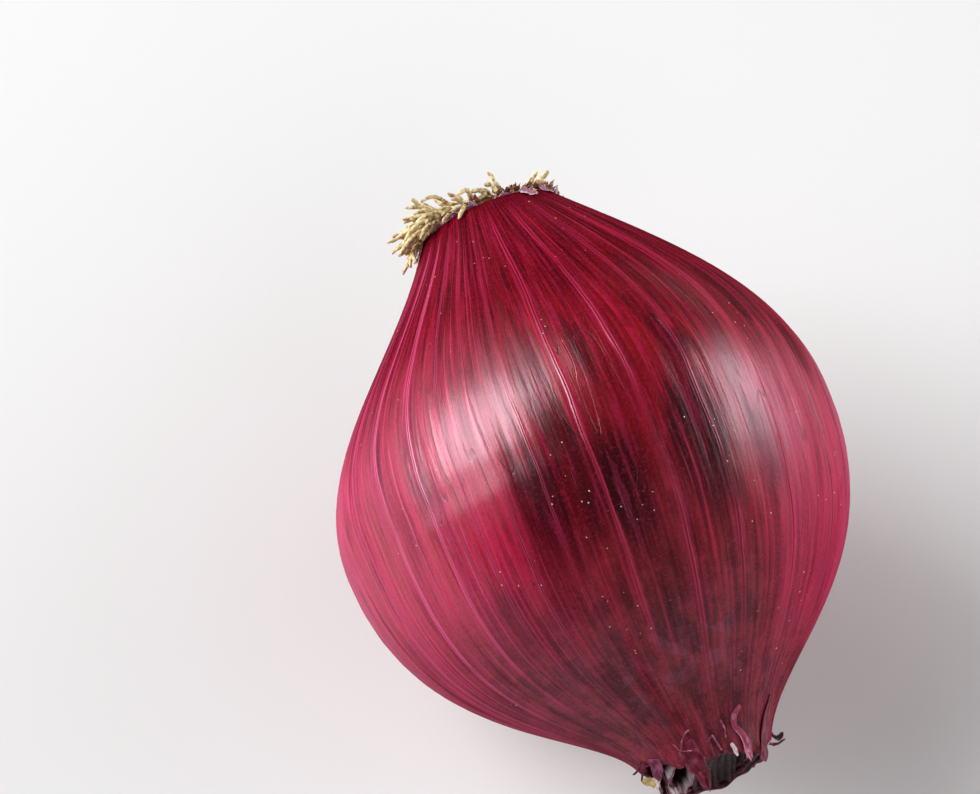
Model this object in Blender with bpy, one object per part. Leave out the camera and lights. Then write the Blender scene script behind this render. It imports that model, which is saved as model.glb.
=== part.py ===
# A red onion with its dry skin, root tuft and cut neck, lying on its side on a small flat spot.
# Each piece is modelled upright, root plate down and neck up, around the bulb's own axis, and an
# empty lays them all down. The flat spot's centre is the origin, and the neck points to -Y.

import math
import random

import bmesh
import bpy
from mathutils import Matrix, Vector
from mathutils.geometry import interpolate_bezier

MM = 0.001

# Bulb outline. Heights are measured along the axis, from the root end.
BULB_LENGTH = 87.5 * MM
ROOT_END_RADIUS = 10.5 * MM
BROAD_SIDE = {"radius": 38.5 * MM, "height": 42.5 * MM, "root_slope": 31.0, "root_handle": 18.0 * MM,
              "root_pull": 17.0 * MM, "neck_pull": 30.4 * MM, "neck_slope": -10.0, "neck_handle": 11.6 * MM}
NARROW_SIDE = {"radius": 36.0 * MM, "height": 42.5 * MM, "root_slope": 42.0, "root_handle": 25.0 * MM,
               "root_pull": 13.5 * MM, "neck_pull": 28.1 * MM, "neck_slope": 17.5, "neck_handle": 12.4 * MM}
NARROW_SIDE_ANGLE = math.radians(12.0)
BULB_SEGMENTS = 64
OUTLINE_STEPS = 18

# The neck is cut square and pressed a little flat, with an open collar of dry skin around its fillings.
# Its cut end stands a little off the bulb's axis, towards the broad side.
NECK_HALF_WIDTH = 9.0 * MM
NECK_HALF_DEPTH = 7.5 * MM
NECK_SHIFT = 0.75 * MM
COLLAR_WALL = 1.2 * MM
COLLAR_DEPTH = 7.0 * MM

# Fillings of the collar: an open leaf stub and the pleated leaf bases beside it.
TUBE_HALF_WIDTH = 2.6 * MM
TUBE_HALF_DEPTH = 3.6 * MM
TUBE_WALL = 0.6 * MM
TUBE_LENGTH = 7.5 * MM
TUBE_BORE_DEPTH = 5.0 * MM
TUBE_SEGMENTS = 24
SHEATH_LENGTH = 6.6 * MM
SHEATH_PLEATS = 7
SHEATH_PLEAT_DEPTH = 0.5 * MM
PLEAT_STEPS = 6

# Root crown: a corky domed plate on the root end, and the dried roots that grow from it.
CROWN_RADIUS = 9.0 * MM
CROWN_HEIGHT = 3.0 * MM
ROOT_LENGTH = 6.0 * MM
ROOT_THICKNESS = 1.1 * MM
CROWN_RIM_SHARE = 0.4
CROWN_SEGMENTS = 24
ROOT_RINGS = 3
ROOTS_PER_RING = 12
ROOT_JOINTS = 4
ROOT_OUTER_LEAN = 80.0
ROOT_INNER_LEAN = 40.0
ROOT_DROOP = 0.12
ROOT_SWAY = 0.12
SHORTEST_ROOT_SHARE = 0.7
ROOT_SEED = 7

# How the onion lies: the neck dips below level, and the skin touches in one small flat.
NECK_DIP = math.radians(8.5)
FLAT_DEPTH = 0.65 * MM

GAP = 0.3 * MM

# Torn strips on the collar's cut rim. The angle is measured around the neck from the right-hand
# side, the lean is outwards from the axis, and the curl is how much more it leans at its tip.
RIM_STRIPS = {
    "neck_strip_twisted": {"angle": 118, "width": 2.4 * MM, "length": 4.2 * MM, "lean": -10, "curl": 20,
                           "twist": 70, "material": "crimson_skin"},
    "neck_strip_right": {"angle": 18, "width": 1.6 * MM, "length": 4.5 * MM, "lean": -12, "curl": 14,
                         "twist": 10, "material": "crimson_skin"},
    "neck_ribbon": {"angle": 48, "width": 1.5 * MM, "length": 2.6 * MM, "lean": 4, "curl": -30,
                    "twist": -25, "material": "pink_skin"},
    "neck_curl_right": {"angle": -16, "width": 1.8 * MM, "length": 3.6 * MM, "lean": 46, "curl": 80,
                        "twist": 15, "material": "dark_skin"},
    "neck_flap_tan": {"angle": 196, "width": 2.6 * MM, "length": 3.2 * MM, "lean": 38, "curl": 16,
                      "twist": 0, "material": "straw_skin"},
    "neck_flap_purple": {"angle": 163, "width": 2.2 * MM, "length": 2.4 * MM, "lean": 20, "curl": 25,
                         "twist": -10, "material": "crimson_skin"},
    "neck_shred_left": {"angle": 223, "width": 1.2 * MM, "length": 3.4 * MM, "lean": 50, "curl": 50,
                        "twist": 20, "material": "dark_skin"},
}
STRIP_THICKNESS = 0.7 * MM
STRIP_STEPS = 6
STRIP_TIP_SHARE = 0.6

MATERIALS = {
    "bulb_skin": ((0.24, 0.012, 0.035), 0.35),
    "dried_root": ((0.58, 0.42, 0.20), 0.8),
    "crimson_skin": ((0.16, 0.010, 0.035), 0.5),
    "pink_skin": ((0.45, 0.09, 0.20), 0.5),
    "dark_skin": ((0.035, 0.008, 0.012), 0.6),
    "straw_skin": ((0.40, 0.30, 0.14), 0.6),
}


def make_material(name):
    colour, roughness = MATERIALS[name]
    material = bpy.data.materials.new(name)
    material.use_nodes = True
    shader = material.node_tree.nodes["Principled BSDF"]
    shader.inputs["Base Color"].default_value = (*colour, 1.0)
    shader.inputs["Roughness"].default_value = roughness
    return material


def add_piece(name, bm, material, parent, sharp_angle=40.0):
    bmesh.ops.recalc_face_normals(bm, faces=bm.faces)
    mesh = bpy.data.meshes.new(name)
    bm.to_mesh(mesh)
    bm.free()
    mesh.shade_smooth()
    mesh.set_sharp_from_angle(angle=math.radians(sharp_angle))
    mesh.materials.append(material)
    piece = bpy.data.objects.new(name, mesh)
    piece.parent = parent
    bpy.context.collection.objects.link(piece)
    return piece


def mix(a, b, share):
    return a + (b - a) * share


def smooth_share(value, low, high):
    share = min(max((value - low) / (high - low), 0.0), 1.0)
    return share * share * (3.0 - 2.0 * share)


def side_outline(side, neck_radius):
    # One side of the bulb as two round arcs, root end to widest point to neck, as (radius, height).
    widest = Vector((side["radius"], side["height"]))
    root = Vector((ROOT_END_RADIUS, 0.0))
    neck = Vector((neck_radius, BULB_LENGTH))
    root_slope = math.radians(side["root_slope"])
    neck_slope = math.radians(side["neck_slope"])
    root_handle = root + Vector((math.sin(root_slope), math.cos(root_slope))) * side["root_handle"]
    neck_handle = neck + Vector((math.sin(neck_slope), -math.cos(neck_slope))) * side["neck_handle"]
    before = widest - Vector((0.0, side["root_pull"]))
    after = widest + Vector((0.0, side["neck_pull"]))
    lower = interpolate_bezier(root, root_handle, before, widest, OUTLINE_STEPS)
    upper = interpolate_bezier(widest, after, neck_handle, neck, OUTLINE_STEPS)
    return lower + upper[1:]


def flattened(height):
    # How far the section is pressed flat: round up to the shoulder, an oval at the neck's cut.
    share = smooth_share(height, BROAD_SIDE["height"], BULB_LENGTH)
    return mix(1.0, NECK_HALF_DEPTH / NECK_HALF_WIDTH, share)


def bulb_rings():
    broad = side_outline(BROAD_SIDE, NECK_HALF_WIDTH + NECK_SHIFT)
    narrow = side_outline(NARROW_SIDE, NECK_HALF_WIDTH - NECK_SHIFT)
    rings = []
    for broad_point, narrow_point in zip(broad, narrow):
        ring = []
        for step in range(BULB_SEGMENTS):
            angle = math.tau * step / BULB_SEGMENTS
            share = 0.5 + 0.5 * math.cos(angle - NARROW_SIDE_ANGLE)
            radius, height = broad_point.lerp(narrow_point, share)
            depth = radius * flattened(height)
            ring.append(Vector((radius * math.cos(angle), depth * math.sin(angle), height)))
        rings.append(ring)
    return rings


def neck_centre(height):
    squash = NECK_HALF_DEPTH / NECK_HALF_WIDTH
    x = -NECK_SHIFT * math.cos(NARROW_SIDE_ANGLE)
    y = -NECK_SHIFT * math.sin(NARROW_SIDE_ANGLE) * squash
    return Vector((x, y, height))


def oval(half_width, half_depth, centre, segments=BULB_SEGMENTS):
    angles = [math.tau * step / segments for step in range(segments)]
    return [centre + Vector((half_width * math.cos(a), half_depth * math.sin(a), 0.0)) for a in angles]


def loft(rings):
    # Skins a list of rings with equal counts, and closes both ends with a flat face.
    bm = bmesh.new()
    loops = [[bm.verts.new(point) for point in ring] for ring in rings]
    count = len(rings[0])
    for lower, upper in zip(loops, loops[1:]):
        for i in range(count):
            j = (i + 1) % count
            bm.faces.new((lower[i], lower[j], upper[j], upper[i]))
    bm.faces.new(list(reversed(loops[0])))
    bm.faces.new(loops[-1])
    return bm


def make_bulb(material, parent, down):
    rings = bulb_rings()
    inner_width = NECK_HALF_WIDTH - COLLAR_WALL
    inner_depth = NECK_HALF_DEPTH - COLLAR_WALL
    rings.append(oval(inner_width, inner_depth, neck_centre(BULB_LENGTH)))
    rings.append(oval(inner_width, inner_depth, neck_centre(BULB_LENGTH - COLLAR_DEPTH)))
    bm = loft(rings)
    lowest = max(vert.co.dot(down) for vert in bm.verts)
    cut_point = down * (lowest - FLAT_DEPTH)
    everything = bm.verts[:] + bm.edges[:] + bm.faces[:]
    cut = bmesh.ops.bisect_plane(bm, geom=everything, plane_co=cut_point, plane_no=down, clear_outer=True)
    rim = [item for item in cut["geom_cut"] if isinstance(item, bmesh.types.BMEdge)]
    flat = bmesh.ops.contextual_create(bm, geom=rim)["faces"][0]
    centre = flat.calc_center_median_weighted()
    add_piece("bulb", bm, material, parent)
    return centre


def make_tube(material, parent):
    # An open leaf stub stands in the left of the collar.
    floor = neck_centre(BULB_LENGTH - COLLAR_DEPTH + GAP)
    floor.x += TUBE_HALF_WIDTH + 2.0 * GAP - (NECK_HALF_WIDTH - COLLAR_WALL)
    top = floor + Vector((0.0, 0.0, TUBE_LENGTH))
    bore_floor = top - Vector((0.0, 0.0, TUBE_BORE_DEPTH))
    bore_width = TUBE_HALF_WIDTH - TUBE_WALL
    bore_depth = TUBE_HALF_DEPTH - TUBE_WALL
    rings = [
        oval(TUBE_HALF_WIDTH, TUBE_HALF_DEPTH, floor, TUBE_SEGMENTS),
        oval(TUBE_HALF_WIDTH, TUBE_HALF_DEPTH, top, TUBE_SEGMENTS),
        oval(bore_width, bore_depth, top, TUBE_SEGMENTS),
        oval(bore_width, bore_depth, bore_floor, TUBE_SEGMENTS),
    ]
    add_piece("neck_tube", loft(rings), material, parent)
    return floor.x + TUBE_HALF_WIDTH


def make_sheath(material, parent, tube_edge):
    # Pleated leaf bases fill the collar from the stub to its right-hand end.
    half_width = NECK_HALF_WIDTH - COLLAR_WALL - GAP
    half_depth = NECK_HALF_DEPTH - COLLAR_WALL - GAP
    floor = neck_centre(BULB_LENGTH - COLLAR_DEPTH + GAP)
    left = tube_edge + GAP - floor.x
    widest_angle = math.acos(left / half_width)
    outline = []
    steps = SHEATH_PLEATS * PLEAT_STEPS
    for step in range(steps + 1):
        angle = mix(-widest_angle, widest_angle, step / steps)
        pleat = SHEATH_PLEAT_DEPTH * (0.5 - 0.5 * math.cos(math.tau * step / PLEAT_STEPS))
        x = max((half_width - pleat) * math.cos(angle), left)
        outline.append(Vector((x, (half_depth - pleat) * math.sin(angle), 0.0)))
    top = floor + Vector((0.0, 0.0, SHEATH_LENGTH))
    rings = [[point + floor for point in outline], [point + top for point in outline]]
    add_piece("neck_sheath", loft(rings), material, parent)


def make_strip(name, strip, material, parent):
    # A flat torn strip stands on the middle of the rim, leans, curls and twists, and tapers to its tip.
    angle = math.radians(strip["angle"])
    across = NECK_HALF_WIDTH - COLLAR_WALL / 2.0
    deep = NECK_HALF_DEPTH - COLLAR_WALL / 2.0
    point = neck_centre(BULB_LENGTH + GAP) + Vector((across * math.cos(angle), deep * math.sin(angle), 0.0))
    outward = Vector((math.cos(angle) / across, math.sin(angle) / deep, 0.0)).normalized()
    along = Vector((-outward.y, outward.x, 0.0))
    axis = Vector((0.0, 0.0, 1.0))
    rings = []
    for step in range(STRIP_STEPS + 1):
        share = step / STRIP_STEPS
        lean = math.radians(strip["lean"] * min(2.0 * share, 1.0) + strip["curl"] * share)
        direction = axis * math.cos(lean) + outward * math.sin(lean)
        turn = Matrix.Rotation(math.radians(strip["twist"]) * share, 3, direction)
        wide = turn @ along * strip["width"] * mix(0.5, STRIP_TIP_SHARE * 0.5, share)
        thick = turn @ direction.cross(along) * STRIP_THICKNESS * 0.5
        rings.append([point - wide - thick, point + wide - thick, point + wide + thick, point - wide + thick])
        point = point + direction * (strip["length"] / STRIP_STEPS)
    add_piece(name, loft(rings), material, parent)


def grow_root(bm, face, direction, droop, length):
    # Draws one face of the crown out into a root, a joint at a time, drooping as it goes.
    for _ in range(ROOT_JOINTS):
        face = bmesh.ops.extrude_discrete_faces(bm, faces=[face])["faces"][0]
        centre = face.calc_center_median()
        direction = (direction + droop).normalized()
        new_centre = centre + direction * (length / ROOT_JOINTS)
        for vert in face.verts:
            offset = vert.co - centre
            offset -= direction * offset.dot(direction)
            vert.co = new_centre + offset.normalized() * (ROOT_THICKNESS / 2.0)


def make_crown(material, parent):
    # A low dome on the root end, in rings of faces that each hold a ring of roots.
    chance = random.Random(ROOT_SEED)
    rings = []
    rim_height = CROWN_HEIGHT * CROWN_RIM_SHARE
    rings.append(oval(CROWN_RADIUS, CROWN_RADIUS, Vector((0.0, 0.0, -GAP)), CROWN_SEGMENTS))
    for ring in range(ROOT_RINGS + 1):
        rise = math.radians(90.0) * ring / (ROOT_RINGS + 1)
        radius = CROWN_RADIUS * math.cos(rise)
        height = rim_height + (CROWN_HEIGHT - rim_height) * math.sin(rise)
        rings.append(oval(radius, radius, Vector((0.0, 0.0, -GAP - height)), CROWN_SEGMENTS))
    bm = loft([list(reversed(ring)) for ring in rings])
    faces = bm.faces[:]
    for ring in range(ROOT_RINGS):
        lean = math.radians(mix(ROOT_OUTER_LEAN, ROOT_INNER_LEAN, ring / (ROOT_RINGS - 1)))
        for root in range(ROOTS_PER_RING):
            column = (root * CROWN_SEGMENTS // ROOTS_PER_RING + ring) % CROWN_SEGMENTS
            face = faces[(ring + 1) * CROWN_SEGMENTS + column]
            outward = face.calc_center_median()
            outward.z = 0.0
            outward.normalize()
            direction = outward * math.sin(lean) - Vector((0.0, 0.0, math.cos(lean)))
            sideways = Vector((-outward.y, outward.x, 0.0)) * chance.uniform(-ROOT_SWAY, ROOT_SWAY)
            length = ROOT_LENGTH * chance.uniform(SHORTEST_ROOT_SHARE, 1.0)
            grow_root(bm, face, direction, outward * ROOT_DROOP + sideways, length)
    add_piece("root_crown", bm, material, parent)


def build_onion():
    for leftover in list(bpy.data.objects):
        bpy.data.objects.remove(leftover)
    materials = {name: make_material(name) for name in MATERIALS}
    lying = Matrix.Rotation(math.radians(90.0) + NECK_DIP, 3, "X")
    axis = bpy.data.objects.new("onion_axis", None)
    bpy.context.collection.objects.link(axis)
    down = lying.inverted() @ Vector((0.0, 0.0, -1.0))
    flat_centre = make_bulb(materials["bulb_skin"], axis, down)
    axis.rotation_euler = lying.to_euler()
    axis.location = -(lying @ flat_centre)
    make_crown(materials["dried_root"], axis)
    tube_edge = make_tube(materials["crimson_skin"], axis)
    make_sheath(materials["dark_skin"], axis, tube_edge)
    for name, strip in RIM_STRIPS.items():
        make_strip(name, strip, materials[strip["material"]], axis)


build_onion()
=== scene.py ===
import math
import random

import bmesh
import bpy
import numpy as np
from mathutils import Matrix, Vector, noise
from mathutils.bvhtree import BVHTree


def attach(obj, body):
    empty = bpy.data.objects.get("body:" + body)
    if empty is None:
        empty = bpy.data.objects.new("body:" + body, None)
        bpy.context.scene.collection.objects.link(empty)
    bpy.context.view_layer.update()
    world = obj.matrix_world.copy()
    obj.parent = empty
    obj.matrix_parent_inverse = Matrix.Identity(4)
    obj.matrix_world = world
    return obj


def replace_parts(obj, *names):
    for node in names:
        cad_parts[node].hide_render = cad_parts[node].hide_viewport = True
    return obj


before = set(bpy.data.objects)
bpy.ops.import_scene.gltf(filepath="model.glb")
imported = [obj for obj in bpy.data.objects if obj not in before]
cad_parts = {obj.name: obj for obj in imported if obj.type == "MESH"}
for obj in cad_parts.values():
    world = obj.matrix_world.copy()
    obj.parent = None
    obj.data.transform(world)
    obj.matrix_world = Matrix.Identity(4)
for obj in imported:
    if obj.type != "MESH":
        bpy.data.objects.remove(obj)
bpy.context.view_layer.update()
mm = 0.001
print("frame loaded:", ", ".join(sorted(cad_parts)))


axisDip = math.radians(8.5)  # the neck dips this much below level
toWorld3 = Matrix.Rotation(math.radians(90.0) + axisDip, 3, "X")


def readAxis():
    # the root end's centre, the bulb's length, the way it lies, and the neck's middle and half widths in mm
    points = np.array([v.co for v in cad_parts["bulb"].data.vertices])
    along = points @ np.array(toWorld3 @ Vector((0.0, 0.0, 1.0)))
    low, high = along.min(), along.max()
    rootRing = points[along < low + 0.02 * mm]
    centre = Vector((rootRing.max(0) + rootRing.min(0)) / 2.0)
    lying = Matrix.Translation(centre) @ toWorld3.to_4x4()
    neckRing = [lying.inverted() @ Vector(point) for point in points[along > high - 0.02 * mm]]
    left, right = min(p.x for p in neckRing) / mm, max(p.x for p in neckRing) / mm
    under, over = min(p.y for p in neckRing) / mm, max(p.y for p in neckRing) / mm
    middle = Vector(((left + right) / 2.0, (under + over) / 2.0, 0.0))
    halves = ((right - left) / 2.0, (over - under) / 2.0)
    return centre, float(high - low), lying, middle, halves


rootCentre, bulbLength, toWorld, neckCentre, neckHalves = readAxis()
print("axis read, bulb length %.1f mm" % (bulbLength / mm))


def deselectAll():
    if bpy.context.object and bpy.context.object.mode != "OBJECT":
        bpy.ops.object.mode_set(mode="OBJECT")
    bpy.ops.object.select_all(action="DESELECT")


def latest(name):
    piece = bpy.context.active_object
    piece.name = name
    piece.data.name = name
    return piece


def readPoints(piece):
    points = np.empty(len(piece.data.vertices) * 3)
    piece.data.vertices.foreach_get("co", points)
    return points.reshape(-1, 3)


def writePoints(piece, points):
    piece.data.vertices.foreach_set("co", np.ascontiguousarray(points, dtype=np.float32).ravel())
    piece.data.update()


def layDown(piece):
    piece.data.transform(toWorld)
    piece.data.update()


def finishPiece(piece, material, node, slot):
    piece.data.materials.clear()
    piece.data.materials.append(material)
    for face in piece.data.polygons:
        face.use_smooth = True
    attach(piece, "root")
    if node:
        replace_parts(piece, node)
    return piece


def smoothstep(low, high, value):
    share = np.clip((value - low) / (high - low), 0.0, 1.0)
    return share * share * (3.0 - 2.0 * share)


def ripple(angle, height, count, stretch, seed):
    # smooth noise that closes on itself around the axis
    ring = count / math.tau
    return noise.noise(Vector((ring * math.cos(angle) + seed, ring * math.sin(angle), height * stretch)))


class Socket:
    # a node's output that can be used in Python sums
    def __init__(self, finish, output):
        self.finish = finish
        self.output = output

    def math(self, operation, *others):
        values = dict(enumerate((self, *others)))
        return self.finish.node("ShaderNodeMath", {"operation": operation}, values)

    def __add__(self, other):
        return self.math("ADD", other)

    def __sub__(self, other):
        return self.math("SUBTRACT", other)

    def __mul__(self, other):
        return self.math("MULTIPLY", other)

    def __truediv__(self, other):
        return self.math("DIVIDE", other)

    def __rsub__(self, other):
        return self.finish.node("ShaderNodeMath", {"operation": "SUBTRACT"}, {0: other, 1: self})

    def __neg__(self):
        return self * -1.0

    __radd__ = __add__
    __rmul__ = __mul__


class Finish:
    # one material, built from nodes
    def __init__(self, name, **shaderValues):
        self.material = bpy.data.materials.new(name)
        self.material.use_nodes = True
        self.tree = self.material.node_tree
        self.shader = self.tree.nodes["Principled BSDF"]
        for socketName, value in shaderValues.items():
            self.shader.inputs[socketName.replace("_", " ")].default_value = value

    def node(self, kind, settings=None, inputs=None, output=0):
        made = self.tree.nodes.new(kind)
        for key, value in (settings or {}).items():
            if key == "stops":
                self.setStops(made.color_ramp, value)
            else:
                setattr(made, key, value)
        for key, value in (inputs or {}).items():
            if isinstance(value, Socket):
                self.tree.links.new(value.output, made.inputs[key])
            else:
                made.inputs[key].default_value = value
        return Socket(self, made.outputs[output])

    def setStops(self, ramp, stops):
        while len(ramp.elements) < len(stops):
            ramp.elements.new(0.5)
        for element, (place, colour) in zip(ramp.elements, stops):
            element.position = place
            element.color = (*colour, 1.0)

    def feed(self, **sockets):
        for name, value in sockets.items():
            self.tree.links.new(value.output, self.shader.inputs[name.replace("_", " ")])

    def addGloss(self, share, **values):
        # a thin layer over the shader that mirrors equally well from every side, as wax does
        values = {name.replace("_", " "): value for name, value in values.items()}
        gloss = self.node("ShaderNodeBsdfPrincipled", None, {"Metallic": 1.0, **values}, "BSDF")
        body = Socket(self, self.shader.outputs["BSDF"])
        layered = self.node("ShaderNodeMixShader", None, {0: share, 1: body, 2: gloss}, "Shader")
        self.tree.links.new(layered.output, self.tree.nodes["Material Output"].inputs["Surface"])

    def axisPoint(self):
        # object coordinates turned upright: x, y across the axis and z from root to neck, in mm
        objectPoint = self.node("ShaderNodeTexCoord", output="Object")
        return self.node("ShaderNodeMapping", {"vector_type": "TEXTURE"}, {
            "Vector": objectPoint, "Location": rootCentre,
            "Rotation": (math.radians(90.0) + axisDip, 0.0, 0.0), "Scale": (mm, mm, mm)})

    def split(self, vector):
        return [self.node("ShaderNodeSeparateXYZ", None, {0: vector}, output) for output in range(3)]

    def join(self, x, y, z):
        return self.node("ShaderNodeCombineXYZ", None, {0: x, 1: y, 2: z})

    def noise(self, vector, scale, detail, roughness=0.5):
        values = {"Vector": vector, "Scale": scale, "Detail": detail, "Roughness": roughness}
        return self.node("ShaderNodeTexNoise", None, values, "Fac")

    def mixColour(self, low, high, share):
        return self.node("ShaderNodeMix", {"data_type": "RGBA"}, {0: share, 6: low, 7: high}, 2)

    def between(self, low, high, value):
        # 0 below low, 1 above high, smooth in between
        settings = {"interpolation_type": "SMOOTHSTEP"}
        return self.node("ShaderNodeMapRange", settings, {0: value, 1: low, 2: high, 3: 0.0, 4: 1.0})

    def bump(self, height, distance, under=None):
        values = {"Height": height, "Strength": 1.0, "Distance": distance}
        if under:
            values["Normal"] = under
        return self.node("ShaderNodeBump", None, values, "Normal")


def linear(red, green, blue):
    # screen colour, 0 to 255, to the renderer's linear colour
    def one(value):
        value /= 255.0
        return value / 12.92 if value <= 0.04045 else ((value + 0.055) / 1.055) ** 2.4
    return (one(red), one(green), one(blue), 1.0)


skinLook = {
    "deep": linear(92, 3, 12),
    "crimson": linear(158, 8, 28),
    # painted shade: the root half is darkened towards this colour
    "paintedShadeWine": linear(98, 7, 20),
    # also painted light where laid over the lit left flank and the right highlight's place
    "rose": linear(208, 44, 98),
    "vein": linear(236, 92, 146),
    "redVein": linear(206, 40, 80),
    "hairline": linear(52, 4, 28),
    # dark colour of the blotches and of the painted shade between the highlights, also used for dark
    # streaks
    "blotchAndShade": linear(34, 2, 5),
    "mauve": linear(118, 44, 52),
    "umber": linear(70, 30, 36),
    "lilac": linear(150, 92, 128),
    # painted reflection: a pale pink sheen laid along both limbs
    "rim": linear(206, 100, 134),
    "speck": linear(240, 226, 200),
    # where the main veins run, in degrees from the upper side towards the narrow side
    "veins": (-173, -160, -147, -134, -121, -108, -95, -83, -71, -59, -47, -38, -30, -21.5, -9.5,
              4.5, 17.7, 34.5, 52, 65, 78, 92, 106, 120, 134, 148, 162, 175),
    "finePerVein": 7.0,
    # dark blotches, the strongest of which, from -21 to 13 degrees and around 42 to 53 mm up, are painted
    # shade in the dull band between the two highlights: degrees, height in mm, half width in degrees, half
    # length in mm, strength
    "blotchesAndShade": (
        (13.0, 51.0, 12.0, 13.0, 1.0), (-5.0, 53.0, 11.0, 12.0, 0.95), (-21.0, 51.0, 11.0, 10.0, 0.90),
        (29.0, 53.0, 7.0, 8.0, 0.60), (3.0, 42.0, 14.0, 9.0, 0.45), (-12.0, 47.0, 4.0, 7.0, 0.60),
        (19.0, 59.0, 4.0, 4.0, 0.70), (6.0, 60.0, 4.0, 4.0, 0.60), (-38.0, 64.0, 6.0, 7.0, 0.55),
        (-27.0, 60.0, 4.0, 6.0, 0.40), (56.0, 39.0, 4.0, 7.0, 0.80), (49.0, 29.0, 5.0, 9.0, 0.50),
        (-3.0, 34.0, 3.0, 7.0, 0.70), (-8.5, 13.0, 2.4, 6.0, 0.60), (38.0, 32.0, 2.4, 7.0, 0.35),
        (-59.0, 33.0, 2.0, 7.0, 0.50), (-76.0, 60.0, 3.0, 6.0, 0.35)),
    "roughness": 0.40,
    # share of the waxy layer everywhere, and what the belly adds to it
    "gloss": {"least": 0.008, "belly": 0.074, "tint": (1.0, 0.87, 0.97, 1.0), "roughness": 0.30},
    "ribDepth": 0.06 * mm,
    "reliefDepth": 0.12 * mm,
}


class SkinFinish(Finish):
    # the onion's skin, drawn in degrees from the upper side and in mm from the root end
    def __init__(self):
        super().__init__("onionSkin", Specular_IOR_Level=0.0)
        self.point = self.axisPoint()
        x, y, self.height = self.split(self.point)
        self.radius = (x * x + y * y).math("SQRT").math("MAXIMUM", 0.5)
        # towards the neck everything bends away from the upper side
        turn = x.math("ARCTAN2", y)
        bend = self.between(42.0, 92.0, self.height) * 0.42
        turn = turn - turn.math("SINE") * bend
        self.degrees = turn * math.degrees(1.0)
        self.ring = (turn.math("COSINE"), turn.math("SINE"))
        self.fine = self.stripes(460.0, 0.12, 2.0)
        self.thread = self.stripes(300.0, 0.10, 2.0, 17.0)
        self.middle = self.stripes(110.0, 0.03, 4.0, 7.0)
        self.broad = self.stripes(34.0, 0.028, 3.0, 13.0)
        self.pores = self.noise(self.point, 2.6, 3.0, 0.65)
        self.findRegions()
        self.drawVeins()
        self.drawDetails()
        self.drawBlotchesAndShade()
        self.paint()

    def stripes(self, count, stretch, detail=3.0, shift=0.0, roughness=0.55):
        # noise drawn out into stripes that run from root to neck
        around = count / math.tau
        place = self.join(self.ring[0] * around + shift, self.ring[1] * around, self.height * stretch)
        return self.noise(place, 1.0, detail, roughness)

    def findRegions(self):
        # slow changes over the bulb: rose over the lit flanks as painted light, a dusty neck, a root half
        # darkened as painted shade, and an underside where the painted rose and rim sheen fade
        height, degrees = self.height, self.degrees
        self.underside = self.between(100.0, 145.0, degrees.math("ABSOLUTE"))
        self.belly = self.between(14.0, 40.0, height)
        self.neckShare = self.between(52.0, 72.0, height)
        flank = 1.0 - 0.65 * self.underside
        self.leftShare = self.between(12.0, 58.0, -degrees) * flank
        # the right highlight's place, for the painted light rose
        rightLow = self.between(18.0, 34.0, degrees) * self.between(32.0, 48.0, height) * flank
        self.paintedLightRose = (self.leftShare * self.belly).math("MAXIMUM", rightLow)
        sides = (rightLow * 0.6).math("MAXIMUM", self.between(50.0, 80.0, -degrees) * 0.5)
        self.dusty = self.neckShare * (1.0 - sides * (1.0 - self.between(70.0, 80.0, height)))

    def countVeins(self):
        # a ramp turns degrees into the count of main veins passed, wandering a little
        places = skinLook["veins"]
        count = len(places)
        share = (places[0] + 180.0) / (places[0] + 540.0 - places[-1])
        grey = [1.0 - share] + [float(index + 1) for index in range(count)] + [count + 1.0 - share]
        marks = [-180.0] + list(places) + [180.0]
        stops = [((mark + 180.0) / 360.0, (level / (count + 1),) * 3) for mark, level in zip(marks, grey)]
        place = (self.degrees + 180.0) / 360.0
        ramp = self.node("ShaderNodeValToRGB", {"stops": stops}, {"Fac": place}, "Color")
        slow = (self.stripes(9.0, 0.03, 1.0, 3.0) - 0.5) * 0.30
        return ramp * (count + 1.0) + (slow + (self.stripes(40.0, 0.12, 1.0, 5.0) - 0.5) * 0.07)

    def lines(self, passed, number, narrow, wide, jitter=0.0):
        # distance in mm from the nearest of a run of lines, that line's own chance value, and the line
        count = len(skinLook["veins"])
        nearest = (passed * number).math("ROUND")
        line = nearest.math("MODULO", number * count) + 0.5
        pick = self.node("ShaderNodeTexWhiteNoise", {"noise_dimensions": "1D"}, {"W": line}, "Value")
        offset = passed * number - nearest - (pick - 0.5) * jitter
        distance = offset.math("ABSOLUTE") * self.radius * (math.tau / count / number)
        return distance, pick, 1.0 - self.between(narrow, wide, distance)

    def drawVeins(self):
        # main veins: a dark hairline with pink edges in a faint halo, and finer lines between them
        height = self.height
        passed = self.countVeins()
        across, pick, line = self.lines(passed, 1.0, 0.12, 0.40)
        strength = 0.50 + 0.50 * self.between(0.1, 0.8, pick)
        self.ends = self.between(1.0, 9.0, height) * (1.0 - self.between(62.0, 80.0, height))
        patchy = self.between(0.34, 0.56, self.stripes(40.0, 0.06, 2.0, 53.0))
        self.halo = (1.0 - self.between(0.1, 1.3, across)) * strength * self.ends * (0.35 + 0.65 * patchy)
        self.line = line * strength * self.ends * (0.3 + 0.7 * patchy)
        self.core = (1.0 - self.between(0.05, 0.16, across)) * self.ends * (0.25 + 0.75 * patchy)
        across, pick, line = self.lines(passed, skinLook["finePerVein"], 0.05, 0.22, 0.5)
        along = self.between(0.42, 0.62, self.stripes(200.0, 0.025, 2.0, 83.0))
        self.paleLine = line * self.between(0.35, 0.75, pick) * along * self.ends
        self.darkLine = line * self.between(0.60, 0.25, pick) * (1.0 - along)

    def drawDetails(self):
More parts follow.
